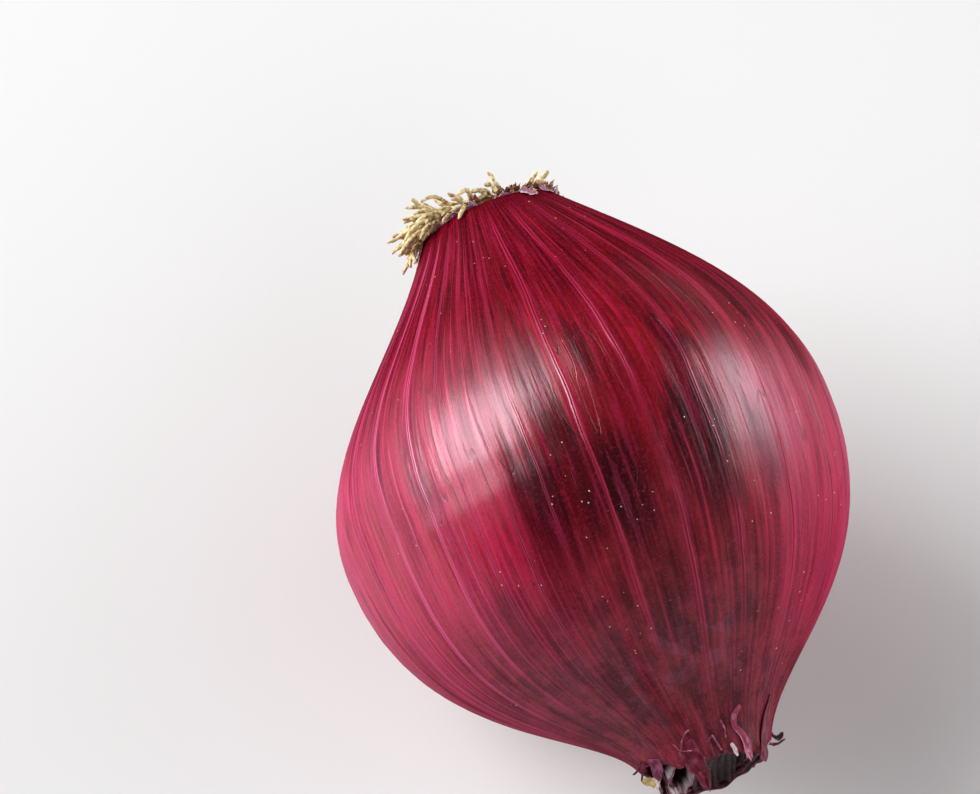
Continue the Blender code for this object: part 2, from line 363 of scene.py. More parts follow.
        # thin side branches, which are contour lines of drawn-out noise, and loose grains in clusters
        contour = (self.stripes(60.0, 0.045, 1.0, 61.0) - 0.5).math("ABSOLUTE")
        branched = self.between(0.50, 0.60, self.stripes(22.0, 0.08, 2.0, 67.0)) * self.ends
        self.branch = (1.0 - self.between(0.002, 0.007, contour)) * branched
        cells = {"Vector": self.point, "Scale": 0.62}
        grains = self.node("ShaderNodeTexVoronoi", {"feature": "F1"}, cells, "Distance")
        clusters = self.between(0.53, 0.62, self.noise(self.point, 0.10, 2.0))
        self.grain = (1.0 - self.between(0.04, 0.09, grains)) * clusters

    def drawBlotchesAndShade(self):
        # dark blotches with feathered ends: loose ones everywhere, and the ones listed above, the strongest
        # of which are painted shade between the two highlights
        patches = self.stripes(30.0, 0.05, 4.0, 29.0, 0.6)
        feather = self.stripes(130.0, 0.02, 3.0, 23.0) - 0.5
        loose = self.between(0.56, 0.70, patches) * self.between(12.0, 34.0, self.height)
        self.blotchAndShade = loose * (1.0 - 0.4 * self.leftShare) * 0.8
        for place, middleHeight, halfWidth, halfLength, depth in skinLook["blotchesAndShade"]:
            aside = (self.degrees + feather * 8.0 - place) / halfWidth
            along = (self.height + feather * 16.0 - middleHeight) / halfLength
            distance = (aside * aside + along * along).math("SQRT")
            spot = (1.0 - self.between(0.35, 1.15, distance)) * depth
            self.blotchAndShade = self.blotchAndShade.math("MAXIMUM", spot)

    def findWorn(self):
        # a pale worn patch on the upper side, close to the neck
        height = self.height
        worn = self.between(0.50, 0.62, self.noise(self.point, 0.35, 4.0, 0.65))
        worn = worn * self.between(68.0, 72.0, height) * (1.0 - self.between(76.0, 80.0, height))
        aside = (self.degrees + 8.0).math("ABSOLUTE")
        return worn * (1.0 - self.between(14.0, 34.0, aside))

    def colourSkin(self):
        # each layer: a colour laid over what is there, and how much of it
        middle, thread, pores, belly = self.middle, self.thread, self.pores, self.belly
        look, neckShare = skinLook, self.neckShare
        region = self.stripes(7.0, 0.025, 2.0, 41.0)
        outer = self.degrees.math("ABSOLUTE") - 4.0 + self.degrees * 0.10
        mottled = self.stripes(46.0, 0.30, 5.0, 91.0, 0.66)
        dust = self.mixColour(look["umber"], look["mauve"], self.between(0.42, 0.58, mottled))
        veinColour = self.mixColour(look["redVein"], look["vein"], self.leftShare)
        streak = 0.66 - 0.40 * belly - 0.10 * neckShare
        fineStreak = 0.56 - 0.30 * belly - 0.10 * neckShare
        colour = self.mixColour(look["deep"], look["crimson"], self.between(0.30, 0.60, self.broad))
        # painted shade: the root half darkened towards wine
        colour = self.mixColour(look["paintedShadeWine"], colour, 0.15 + 0.85 * self.between(16.0, 46.0, self.height))
        layers = (
            # painted light: rose over the lit left flank and under the right highlight
            (look["rose"], self.paintedLightRose * (0.50 + 0.50 * self.between(0.35, 0.65, region)) * 0.85),
            # painted reflection: a pale pink sheen near both limbs, less on the underside
            (look["rim"], self.between(58.0, 84.0, outer) * (0.62 - 0.50 * self.underside)),
            (look["rose"], self.halo * (0.14 + 0.24 * belly)),
            (look["crimson"], self.between(0.50, 0.70, middle) * 0.5),
            (look["deep"], self.between(0.52, 0.34, middle) * 0.55),
            # painted shade: the strongest listed blotches darken the dull band between the two highlights
            (look["blotchAndShade"], self.blotchAndShade * (0.70 + 0.30 * self.between(0.35, 0.6, middle))),
            (dust, self.dusty * (0.90 - 0.6 * self.blotchAndShade)),
            (look["lilac"], self.findWorn() * 0.18),
            (look["blotchAndShade"], self.between(0.53, 0.66, thread) * streak),
            (look["blotchAndShade"], self.between(0.52, 0.66, self.fine) * fineStreak),
            (look["rose"], self.between(0.48, 0.34, thread) * 0.16),
            (look["hairline"], self.darkLine * 0.35),
            (look["blotchAndShade"], self.between(0.50, 0.66, pores) * 0.26),
            (look["rose"], self.between(0.48, 0.34, pores) * 0.14),
            (veinColour, self.paleLine * 0.36),
            (veinColour, self.line * (0.66 + 0.22 * self.leftShare)),
            (look["hairline"], self.branch * 0.45),
            (look["hairline"], self.core * 0.85),
            (look["speck"], self.grain),
        )
        for layer, share in layers:
            colour = self.mixColour(colour, layer, share)
        return colour

    def paint(self):
        look, gloss, height, neckShare = skinLook, skinLook["gloss"], self.height, self.neckShare
        ribs = self.fine * 0.5 + self.thread * 0.5 + self.pores * 0.35
        relief = (self.middle * 1.9 + self.broad * 1.6) * (1.0 - 0.8 * neckShare)
        relief = relief + self.line * 0.5 - self.core * 0.3 - self.branch * 0.25 + self.grain * 1.2
        normal = self.bump(relief, look["reliefDepth"], self.bump(ribs, look["ribDepth"]))
        # the wax shines over the belly, less in the dark blotches and painted shade, and in streaks
        dull = self.between(26.0, 46.0, self.degrees) * (1.0 - self.between(34.0, 46.0, height))
        belly = gloss["belly"] * self.between(17.0, 38.0, height)
        belly = belly * (1.0 - 0.75 * self.between(47.0, 68.0, height))
        wax = gloss["least"] + belly * (1.0 - 0.7 * dull)
        wax = wax * (1.0 - 0.4 * self.blotchAndShade) * (0.76 + 0.42 * self.between(0.36, 0.64, self.middle))
        roughness = look["roughness"] + self.thread * 0.12 + neckShare * 0.10
        self.feed(Base_Color=self.colourSkin(), Roughness=roughness, Normal=normal)
        self.addGloss(wax, Base_Color=gloss["tint"], Roughness=gloss["roughness"] + neckShare * 0.08,
                      Normal=normal)


bulb = {
    "columns": 384,
    "outerRows": 216,
    "capRows": 4,  # over the root end, under the crown
    "wallRows": 10,  # down the inside of the collar
    "collarWall": 0.7 * mm,
    "collarDepth": 6.0 * mm,
    "smoothing": 7,
    # in mm: pleats everywhere and what the neck adds to them, slow swellings, and tears along the rim
    "pleat": 0.07,
    "neckPleat": 0.07,
    "swell": 0.35,
    "tear": 0.8,
    # the torn edge at the neck: degrees around the axis, mm beyond the CAD collar
    "rim": ((5.0, -0.9), (29.0, 0.9), (60.0, 0.7), (89.0, -0.4), (114.0, -0.4), (138.0, -1.1),
            (149.0, -2.1), (168.0, -3.6), (188.0, -3.4), (222.0, -0.6), (268.0, 1.2), (325.0, 1.0)),
}


def measureCad():
    # distance from the axis to the CAD bulb's outside, by height row and by column around
    tree = BVHTree.FromObject(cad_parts["bulb"], bpy.context.evaluated_depsgraph_get())
    rows, columns = bulb["outerRows"], bulb["columns"]
    reach = 0.08
    radii = np.zeros((rows, columns))
    for row in range(rows):
        height = bulbLength * (0.002 + 0.996 * row / (rows - 1))
        for column in range(columns):
            angle = math.tau * column / columns
            outward = toWorld3 @ Vector((math.cos(angle), math.sin(angle), 0.0))
            middle = toWorld @ Vector((0.0, 0.0, height))
            hit = tree.ray_cast(middle + outward * reach, -outward)
            radii[row, column] = reach - hit[3]
    return radii


def smoothRings(radii, width):
    # takes the CAD's flat facets out of the rows and columns
    kernel = np.hanning(width + 2)[1:-1]
    kernel /= kernel.sum()
    half = width // 2
    wrapped = np.concatenate([radii[:, -half:], radii, radii[:, :half]], 1)
    around = np.apply_along_axis(lambda line: np.convolve(line, kernel, "valid"), 1, wrapped)
    top = 2 * around[:1] - around[1:half + 1][::-1]
    bottom = 2 * around[-1:] - around[-half - 1:-1][::-1]
    padded = np.concatenate([top, around, bottom], 0)
    return np.apply_along_axis(lambda line: np.convolve(line, kernel, "valid"), 0, padded)


def shapeSkin():
    # the skin's radius and height for every row and column, pleated and torn towards the neck
    columns, rows = bulb["columns"], bulb["outerRows"]
    angle = math.tau * np.arange(columns) / columns
    measured = smoothRings(measureCad(), bulb["smoothing"])
    base = bulbLength * np.linspace(0.0, 1.0, rows)
    nearNeck = smoothstep(0.70, 1.0, base / bulbLength)[:, None]
    places, drops = zip(*bulb["rim"])
    rim = np.interp(np.degrees(angle), places, drops, period=360.0)
    tear = np.array([ripple(a, 0.0, 22.0, 1.0, 4.0) + 0.5 * ripple(a, 0.0, 90.0, 1.0, 6.0) for a in angle])
    heights = base[:, None] + nearNeck ** 5 * (rim + tear * bulb["tear"]) * mm
    radii = np.stack([np.interp(heights[:, k], base, measured[:, k]) for k in range(columns)], 1)
    pleat = np.array([[ripple(a, h / mm, 60.0, 0.10, 2.0) for a in angle] for h in base])
    swell = np.array([[ripple(a, h / mm, 12.0, 0.04, 9.0) for a in angle] for h in base])
    pleated = radii + pleat * (bulb["pleat"] + bulb["neckPleat"] * nearNeck) * mm
    return angle, heights, pleated + swell * bulb["swell"] * mm


skinAngle, skinHeights, skinRadii = shapeSkin()


def skinRadius(angle, height):
    # degrees around the axis and mm from the root end, to mm from the axis
    column = int(round(angle / 360.0 * bulb["columns"])) % bulb["columns"]
    return float(np.interp(height * mm, skinHeights[:, column], skinRadii[:, column])) / mm


def skinPoint(angle, height, lift=0.0):
    # a place on the skin, or lifted off it, in mm
    radius = skinRadius(angle, height) + lift
    return Vector((radius * math.cos(math.radians(angle)), radius * math.sin(math.radians(angle)), height))


def makeBulb():
    columns, rows = bulb["columns"], bulb["outerRows"]
    total = rows + bulb["capRows"] + bulb["wallRows"]
    deselectAll()
    bpy.ops.mesh.primitive_cylinder_add(vertices=columns, radius=1.0, depth=2.0, end_fill_type="NOTHING")
    piece = latest("onionBulb")
    bpy.ops.object.mode_set(mode="EDIT")
    mesh = bmesh.from_edit_mesh(piece.data)
    for edge in mesh.edges:
        edge.select = abs(edge.verts[0].co.z - edge.verts[1].co.z) > 1.0
    bmesh.update_edit_mesh(piece.data)
    bpy.ops.mesh.subdivide(number_cuts=total - 2)
    bpy.ops.object.mode_set(mode="OBJECT")

    points = readPoints(piece)
    row = np.rint((points[:, 2] + 1.0) / 2.0 * (total - 1)).astype(int)
    column = np.rint(np.arctan2(points[:, 1], points[:, 0]) / math.tau * columns).astype(int) % columns
    angle, heights, radii = skinAngle, skinHeights, skinRadii
    capRows, wallRows = bulb["capRows"], bulb["wallRows"]
    cap = np.linspace(0.0, 1.0, capRows, endpoint=False)[:, None]
    capRadii = cap * radii[:1]
    capHeights = heights[:1] * np.ones((capRows, 1))
    wall = np.linspace(0.0, 1.0, wallRows)[:, None]
    wallRadii = radii[-1:] - bulb["collarWall"] * (1.0 + wall)
    wallRadii[-1] *= 0.02
    wallHeights = heights[-1:] - bulb["collarDepth"] * wall ** 1.2
    allRadii = np.concatenate([capRadii, radii, wallRadii], 0)
    allHeights = np.concatenate([capHeights, heights, wallHeights], 0)
    r, h, a = allRadii[row, column], allHeights[row, column], angle[column]
    writePoints(piece, np.stack([r * np.cos(a), r * np.sin(a), h], 1))
    layDown(piece)
    points = readPoints(piece)
    points[:, 2] = np.maximum(points[:, 2], 0.0)
    writePoints(piece, points)
    bpy.ops.object.mode_set(mode="EDIT")
    bpy.ops.mesh.select_all(action="SELECT")
    bpy.ops.mesh.remove_doubles(threshold=0.00001)
    bpy.ops.mesh.select_all(action="DESELECT")
    bpy.ops.mesh.select_non_manifold()
    bpy.ops.mesh.edge_face_add()
    bpy.ops.mesh.select_all(action="SELECT")
    bpy.ops.mesh.normals_make_consistent(inside=False)
    bpy.ops.object.mode_set(mode="OBJECT")
    return finishPiece(piece, SkinFinish().material, "bulb", "bulb_skin")


makeBulb()
print("bulb made")


def makeSheet(name, across, along, place, thickness, material, node, slot, soften=1):
    # a flat grid laid out by place(u, v), u and v from 0 to 1, then given its thickness
    deselectAll()
    bpy.ops.mesh.primitive_grid_add(x_subdivisions=across, y_subdivisions=along, size=2.0)
    piece = latest(name)
    points = readPoints(piece)
    placed = [place((x + 1.0) / 2.0, (y + 1.0) / 2.0) for x, y, z in points]
    writePoints(piece, np.array([list(point) for point in placed]) * mm)
    wall = piece.modifiers.new("wall", "SOLIDIFY")
    wall.thickness = thickness * mm
    wall.offset = 0.0
    if soften:
        smooth = piece.modifiers.new("smooth", "SUBSURF")
        smooth.levels = smooth.render_levels = soften
    for modifier in list(piece.modifiers):
        bpy.ops.object.modifier_apply(modifier=modifier.name)
    layDown(piece)
    return finishPiece(piece, material, node, slot)


def joinPieces(pieces, name):
    deselectAll()
    for piece in pieces:
        piece.select_set(True)
    bpy.context.view_layer.objects.active = pieces[0]
    bpy.ops.object.join()
    pieces[0].name = pieces[0].data.name = name
    return pieces[0]


dryLooks = {
    # threads dark and light, torn edges, and what differs from the usual dry skin
    "rust": {"name": "rustSkin", "dark": (92, 44, 24), "light": (168, 104, 62), "edge": (222, 190, 160),
             "roughness": 0.7},
    "paleTorn": {"name": "paleTornSkin", "dark": (140, 70, 92), "light": (196, 132, 150),
                 "edge": (240, 222, 232), "pale": 0.9},
    "crimson": {"name": "crimsonDrySkin", "dark": (58, 6, 20), "light": (110, 20, 44),
                "edge": (178, 74, 110), "pale": 0.4},
    "purple": {"name": "purpleDrySkin", "dark": (70, 16, 40), "light": (112, 36, 72),
               "edge": (190, 110, 150), "pale": 0.4},
    "dusty": {"name": "dustyDrySkin", "dark": (84, 30, 44), "light": (126, 54, 72),
              "edge": (180, 92, 118), "count": 6.0},
    "pink": {"name": "pinkDrySkin", "dark": (116, 30, 60), "light": (184, 76, 110),
             "edge": (232, 176, 192), "pale": 0.6},
    "dark": {"name": "darkDrySkin", "dark": (18, 4, 8), "light": (48, 14, 24), "edge": (150, 84, 96),
             "pale": 0.5},
    "fan": {"name": "foldedDrySkin", "dark": (10, 2, 4), "light": (40, 12, 20), "edge": (104, 50, 66),
            "roughness": 0.6, "count": 60.0},
    "straw": {"name": "strawSkin", "dark": (120, 100, 54), "light": (196, 172, 112),
              "edge": (228, 214, 184), "roughness": 0.65},
    "white": {"name": "whiteDrySkin", "dark": (190, 150, 164), "light": (232, 222, 226),
              "edge": (246, 242, 244), "pale": 0.6},
}


def makeDryFinish(name, dark, light, edge, roughness=0.55, count=14.0, pale=0.3):
    # papery dry skin: threads along the sheet, pale worn patches and pale torn edges
    dry = Finish(name, Specular_IOR_Level=0.22)
    u, v, _ = dry.split(dry.node("ShaderNodeTexCoord", output="UV"))
    threads = dry.noise(dry.join(u * count, v * 1.6, 0.0), 1.0, 4.0, 0.6)
    worn = dry.noise(dry.axisPoint(), 0.9, 4.0, 0.6)
    edges = dry.between(0.88, 1.0, v).math("MAXIMUM", dry.between(0.90, 1.0, u))
    edges = edges.math("MAXIMUM", dry.between(0.10, 0.0, u)) * dry.between(0.30, 0.55, worn)
    share = dry.between(0.48, 0.70, worn).math("MAXIMUM", edges) * pale
    colour = dry.mixColour(linear(*dark), linear(*light), dry.between(0.36, 0.64, threads))
    colour = dry.mixColour(colour, linear(*edge), share)
    normal = dry.bump(threads + worn, 0.15 * mm)
    dry.feed(Base_Color=colour, Roughness=roughness - 0.1 + threads * 0.2, Normal=normal)
    return dry.material


def through(stations, share):
    # a smooth run through rows of numbers, share from 0 to 1
    spot = share * (len(stations) - 1)
    low = min(int(spot), len(stations) - 2)
    t = spot - low
    rows = [stations[min(max(low + k, 0), len(stations) - 1)] for k in (-1, 0, 1, 2)]
    before, start, end, after = [np.array(row) for row in rows]
    swing = (end - before) * t + (2 * before - 5 * start + 4 * end - after) * t ** 2
    return start + 0.5 * (swing + (3 * start - before - 3 * end + after) * t ** 3)


def stripPlacer(path, seed, ragged, crease):
    # a strip that follows the skin: rows of degrees around, mm from the root, mm off the skin,
    # half width in mm and roll in degrees
    def place(u, v):
        across = 2.0 * u - 1.0
        share = v * (1.0 - ragged * (0.5 + noise.noise(Vector((u * 4.0, seed, 0.0)))) * v)
        angle, height, lift, half, roll = through(path, share)
        step = through(path, min(share + 0.03, 1.0)) - through(path, max(share - 0.03, 0.0))
        radius = max(skinRadius(angle, height) + lift, 1.5)
        run = Vector((math.radians(step[0]) * radius, step[1])).normalized()
        half *= 1.0 + 0.30 * noise.noise(Vector((v * 5.0, seed + across, 3.0)))
        aside = across * half * math.cos(math.radians(roll))
        lift += across * half * math.sin(math.radians(roll))
        lift += crease * noise.noise(Vector((u * 3.0, v * 4.0, seed)))
        return skinPoint(angle + math.degrees(aside * run.y / radius), height - aside * run.x, lift)

    return place


tuft = {
    "sides": 3,
    "steps": 14,
    "seed": 11,
    "thickness": (0.30, 0.44),  # half, in mm
    "combedTo": 190.0,  # the roots are swept towards this side, degrees around the axis
    # angle and its spread in degrees, how far swept, lean from straight out to over the rim, length
    "clumps": (
        {"count": 40, "angle": (163, 20), "swept": 0.3, "lean": (95, 165), "length": (4.0, 8.5)},
        {"count": 26, "angle": (134, 18), "swept": 0.9, "lean": (80, 150), "length": (4.0, 7.5)},
        {"count": 18, "angle": (200, 18), "swept": 0.2, "lean": (110, 170), "length": (4.0, 8.5)},
        {"count": 7, "angle": (148, 26), "swept": 0.2, "lean": (20, 60), "length": (3.0, 5.0)},
        {"count": 9, "angle": (95, 14), "swept": 0.7, "lean": (75, 100), "length": (1.6, 3.4)},
        {"count": 6, "angle": (38, 14), "swept": 0.0, "lean": (70, 95), "length": (2.0, 3.6)},
        {"count": 26, "angle": (285, 34), "swept": 0.1, "lean": (70, 120), "length": (3.0, 6.0)},
    ),
}


def rootPath(chance, clump):
    # one root: out from the plate, then over the rim, never into the bulb
    angle = chance.gauss(*clump["angle"])
    aim = math.radians(angle + (tuft["combedTo"] - angle) * clump["swept"] + chance.gauss(0.0, 24.0))
    outward = Vector((math.cos(math.radians(angle)), math.sin(math.radians(angle)), 0.0))
    combed = Vector((math.cos(aim), math.sin(aim), 0.0))
    side = Vector((-combed.y, combed.x, 0.0))
    point = outward * chance.uniform(7.0, 10.0) + Vector((0.0, 0.0, chance.uniform(-1.8, -0.5)))
    lean = chance.uniform(*clump["lean"])
    length = chance.uniform(*clump["length"])
    wave, phase = chance.uniform(0.1, 0.7), chance.uniform(0.0, math.tau)
    early = chance.uniform(0.35, 0.75)
    path = []
    for step in range(tuft["steps"]):
        share = step / (tuft["steps"] - 1)
        path.append(point.copy())
        tilt = math.radians(lean * (early + (1.0 - early) * share))
        heading = combed * math.sin(tilt) - Vector((0.0, 0.0, math.cos(tilt)))
        heading += side * wave * math.sin(phase + share * 7.0)
        point = point + heading.normalized() * (length / tuft["steps"])
        across = Vector((point.x, point.y, 0.0))
        keepOut = skinRadius(math.degrees(math.atan2(point.y, point.x)), max(point.z, 0.0)) + 0.45
        if point.z > -0.4 and across.length < keepOut:
            across = across.normalized() * keepOut
            point = Vector((across.x, across.y, point.z))
    return path


def makeRootFinish():
    root = Finish("driedRoot", Specular_IOR_Level=0.3)
    point = root.axisPoint()
    grain = root.noise(point, 1.6, 4.0, 0.6)
    patch = root.noise(point, 0.45, 2.0)
    colour = root.mixColour(linear(164, 130, 80), linear(238, 222, 176), root.between(0.32, 0.58, grain))
    colour = root.mixColour(colour, linear(120, 78, 44), root.between(0.56, 0.72, patch) * 0.6)
    root.feed(Base_Color=colour, Roughness=0.62 + grain * 0.3, Normal=root.bump(grain, 0.2 * mm))
    return root.material


def makeTuft():
    chance = random.Random(tuft["seed"])
    curve = bpy.data.curves.new("rootTuft", "CURVE")
    curve.dimensions = "3D"
    curve.bevel_depth = 1.0
    curve.bevel_resolution = tuft["sides"]
    curve.use_fill_caps = True
    for clump in tuft["clumps"]:
        for _ in range(clump["count"]):
            path = rootPath(chance, clump)
            half = chance.uniform(*tuft["thickness"])
            spline = curve.splines.new("POLY")
            spline.points.add(len(path) - 1)
            for index, (target, point) in enumerate(zip(spline.points, path)):
                share = index / (len(path) - 1)
                blunt = 1.0 - 0.20 * share - 0.45 * smoothstep(0.90, 1.0, share)
                lump = 1.0 + 0.25 * noise.noise(Vector((half * 91.0, share * 7.0, 0.0)))
                target.co = (*point, 1.0)
                target.radius = half * blunt * lump
    holder = bpy.data.objects.new("rootTuft", curve)
    bpy.context.scene.collection.objects.link(holder)
    deselectAll()
    holder.select_set(True)
    bpy.context.view_layer.objects.active = holder
    bpy.ops.object.convert(target="MESH")
    piece = latest("rootTuft")
    piece.data.transform(Matrix.Scale(mm, 4))
    layDown(piece)
    return finishPiece(piece, makeRootFinish(), "root_crown", "dried_root")


crown = {"radius": 9.4, "rise": 2.2, "rings": 52, "columns": 120}


def makeCrownPlate():
    # the corky plate under the roots: a low scaly dome
    deselectAll()
    bpy.ops.mesh.primitive_uv_sphere_add(segments=crown["columns"], ring_count=crown["rings"], radius=1.0)
    piece = latest("rootPlate")
    placed = []
    for x, y, z in readPoints(piece):
        scale = noise.noise(Vector((x * 6.0, y * 6.0, 1.0)))
        scale += 0.6 * noise.noise(Vector((x * 15.0, y * 15.0, 5.0)))
        rim = crown["radius"] * (1.0 + 0.05 * ripple(math.atan2(y, x), 0.0, 40.0, 1.0, 3.0))
        height = -0.1 if z > 0.0 else -0.1 + z * crown["rise"] * (1.0 + 0.35 * scale)
        placed.append((x * rim, y * rim, height))
    writePoints(piece, np.array(placed) * mm)
    layDown(piece)
    cork = Finish("rootCork", Roughness=0.85, Specular_IOR_Level=0.2)
    grain = cork.noise(cork.axisPoint(), 0.9, 5.0, 0.65)
    colour = cork.mixColour(linear(70, 36, 20), linear(160, 104, 58), cork.between(0.35, 0.7, grain))
    cork.feed(Base_Color=colour, Normal=cork.bump(grain, 0.4 * mm))
    return finishPiece(piece, cork.material, "root_crown", "dried_root")


flakes = {
    # scales round the root plate: how many, sizes in mm, lean in degrees, mm beyond the rim and up the axis
    "rootScales": {"count": 110, "seed": 5, "size": (0.7, 1.9), "lean": (25.0, 88.0), "out": -0.3,
                   "rise": -0.3},
    "tornEdge": {"count": 90, "seed": 8, "size": (0.5, 1.3), "lean": (20.0, 80.0), "out": 0.1, "rise": 0.3},
}

papers = {
    # papery bits on the shoulder: rows as for the neck strips
    "leftPaper": ((163, 0.2, 0.5, 0.5, 0), (165, 1.6, 0.35, 0.55, 0), (168, 3.2, 0.3, 0.3, 0)),
    "topPaper": ((66, 0.0, 0.4, 0.9, 0), (62, 0.9, 0.25, 0.9, 0), (58, 1.7, 0.2, 0.3, 0)),
    "sidePaper": ((48, -0.1, 0.4, 0.6, 0), (42, 0.6, 0.3, 0.5, 0), (36, 1.0, 0.3, 0.2, 0)),
}


def makeFlakes(name, flake, material, node, slot):
    # small torn flakes of dry skin round the rim of the root plate
    chance = random.Random(flake["seed"])
    pieces = []
    for _ in range(flake["count"]):
        turn = chance.uniform(0.0, 360.0)
        angle = math.radians(turn)
        outward = Vector((math.cos(angle), math.sin(angle), 0.0))
        around = Vector((-outward.y, outward.x, 0.0))
        width, length = chance.uniform(*flake["size"]) * 1.2, chance.uniform(*flake["size"])
        tilt = math.radians(chance.uniform(*flake["lean"]))
        up = outward * math.sin(tilt) - Vector((0.0, 0.0, math.cos(tilt)))
        foot = outward * (skinRadius(turn, 0.2) + flake["out"] + chance.uniform(-0.4, 0.1))
        foot += Vector((0.0, 0.0, flake["rise"]))
        slope, seed = chance.uniform(-0.5, 0.5), chance.uniform(0.0, 50.0)

        def place(u, v):
            torn = 0.65 + 0.7 * noise.noise(Vector((u * 3.0, seed, 0.0)))
            reach = v * length * torn
            fold = 0.35 * noise.noise(Vector((u * 2.5, v * 2.5, seed)))
            aside = (2.0 * u - 1.0) * width * 0.5 * (1.0 - 0.6 * v) + slope * reach
            return foot + around * aside + up * reach + outward * fold

        pieces.append(makeSheet("flake", 7, 6, place, 0.12, material, None, slot, 0))
    whole = joinPieces(pieces, name)
    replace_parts(whole, node)
    return whole


makeTuft()
makeCrownPlate()
dryFinishes = {key: makeDryFinish(**look) for key, look in dryLooks.items()}
makeFlakes("rootScales", flakes["rootScales"], dryFinishes["rust"], "root_crown", "dried_root")
makeFlakes("tornEdge", flakes["tornEdge"], dryFinishes["paleTorn"], "root_crown", "pink_skin")
for name, path in papers.items():
    paper = stripPlacer(path, path[0][0] * 0.7, 0.35, 0.35)
    makeSheet(name, 14, 16, paper, 0.12, dryFinishes["paleTorn"], "root_crown", "pink_skin")
print("root end made")


strips = {
    # path rows: degrees around, mm from the root, mm off the skin, half width in mm, roll in degrees
    "twistedStrip": {
        "node": "neck_strip_twisted", "slot": "crimson_skin", "finish": "crimson", "crease": 0.5,
        "path": ((122, 84.2, -0.1, 1.5, 0), (119, 85.6, 0.15, 1.45, 4), (118, 87.2, 0.3, 1.30, 14),
                 (117, 89.0, -0.5, 0.95, 34), (121, 91.2, -1.6, 0.5, 60))},
    "rightStrip": {
        "node": "neck_strip_right", "slot": "crimson_skin", "finish": "dusty", "crease": 0.15,
        "path": ((30, 81.5, 0.15, 0.45, 0), (32, 84.6, 0.3, 0.75, 0), (36, 87.6, 0.3, 0.78, 0),
                 (47, 90.0, 0.1, 0.66, 8))},
    "tornRibbon": {
        "node": "neck_ribbon", "slot": "pink_skin", "finish": "pink", "crease": 0.3,
        "path": ((64, 81.9, 0.15, 0.22, 0), (70, 83.1, 0.2, 0.34, 0), (69.5, 84.4, 0.2, 0.32, 0),
                 (63.5, 85.8, 0.2, 0.45, 0), (60, 87.4, 0.25, 0.75, 0), (61, 89.4, -0.2, 0.55, 0))},
    "rightCurl": {
        "node": "neck_curl_right", "slot": "dark_skin", "finish": "dark", "crease": 0.4,
        "path": ((2, 85.6, 0.1, 0.6, 0), (-2, 86.5, 0.9, 0.65, 35), (-5, 86.4, 1.6, 0.5, 60),
                 (-10, 85.7, 2.3, 0.2, 90))},
    "curlShred": {
        "node": "neck_curl_right", "slot": "pink_skin", "finish": "pink", "crease": 0.2,
        "path": ((-5, 86.8, 0.1, 0.25, 0), (-3, 87.3, 1.0, 0.22, 20), (5, 87.3, 2.0, 0.12, 40))},
    "tanFlap": {
        "node": "neck_flap_tan", "slot": "straw_skin", "finish": "straw", "crease": 0.3,
        "path": ((165, 87.0, -1.0, 0.55, 0), (177, 86.2, -0.5, 0.8, 0), (196, 84.9, 0.5, 0.2, 0))},
    "purpleFlap": {
        "node": "neck_flap_purple", "slot": "crimson_skin", "finish": "purple", "crease": 0.3,
        "path": ((151, 84.0, 0.15, 0.7, 0), (156, 85.5, 0.0, 1.0, 0), (164, 86.7, -0.7, 0.35, 0))},
    "leftShred": {
        "node": "neck_shred_left", "slot": "dark_skin", "finish": "crimson", "crease": 0.2,
        "path": ((161, 84.1, 0.1, 0.35, 0), (166, 84.2, 0.7, 0.25, 30), (175, 84.5, 1.5, 0.08, 60))},
    "leftThread": {
        "node": "neck_shred_left", "slot": "dark_skin", "finish": "dark", "crease": 0.1,
        "path": ((165, 83.6, 0.1, 0.2, 0), (168, 84.8, 0.6, 0.16, 0), (172, 85.9, 0.8, 0.07, 0))},
    "whiteShred": {
        "node": "neck_tube", "slot": "pink_skin", "finish": "white", "crease": 0.3,
        "path": ((163, 86.2, -0.9, 0.35, 0), (168, 87.0, -0.8, 0.45, 0), (173, 87.6, -0.7, 0.15, 0))},
    "whiteChip": {
        "node": "neck_sheath", "slot": "pink_skin", "finish": "white", "crease": 0.2,
        "path": ((77, 86.2, 0.1, 0.12, 0), (75, 87.2, 0.1, 0.26, 0), (73, 88.1, -0.3, 0.12, 0))},
}

tears = (
    # thin raised torn edges on the skin above the neck: degrees around and mm from the root
    ((99.5, 85.0), (96.0, 84.6), (92.9, 84.5)),
    ((93.2, 84.3), (91.5, 85.3), (88.7, 86.7)),
    ((110.0, 82.7), (117.0, 83.1), (123.0, 84.1), (127.0, 84.9)),
    ((129.0, 83.4), (127.6, 84.2), (126.0, 84.9)),
    ((125.7, 84.8), (118.6, 85.2), (112.0, 85.5)),
    ((116.0, 85.3), (112.5, 86.0), (108.0, 86.9)),
    ((82.0, 82.9), (80.0, 84.2), (81.0, 85.3)),
)

tube = {"middle": (-5.3, -0.2), "halves": (1.75, 3.3), "mouth": 87.3, "slope": -0.42, "depth": 7.0}
sheath = {"layers": 3, "share": 0.88, "step": 0.10, "start": 100.0, "sweep": 290.0, "depth": 6.0}
fan = {"from": -3.2, "to": 7.3, "ridges": 11.0, "rise": 0.5, "mouth": 87.4, "slope": -0.17}


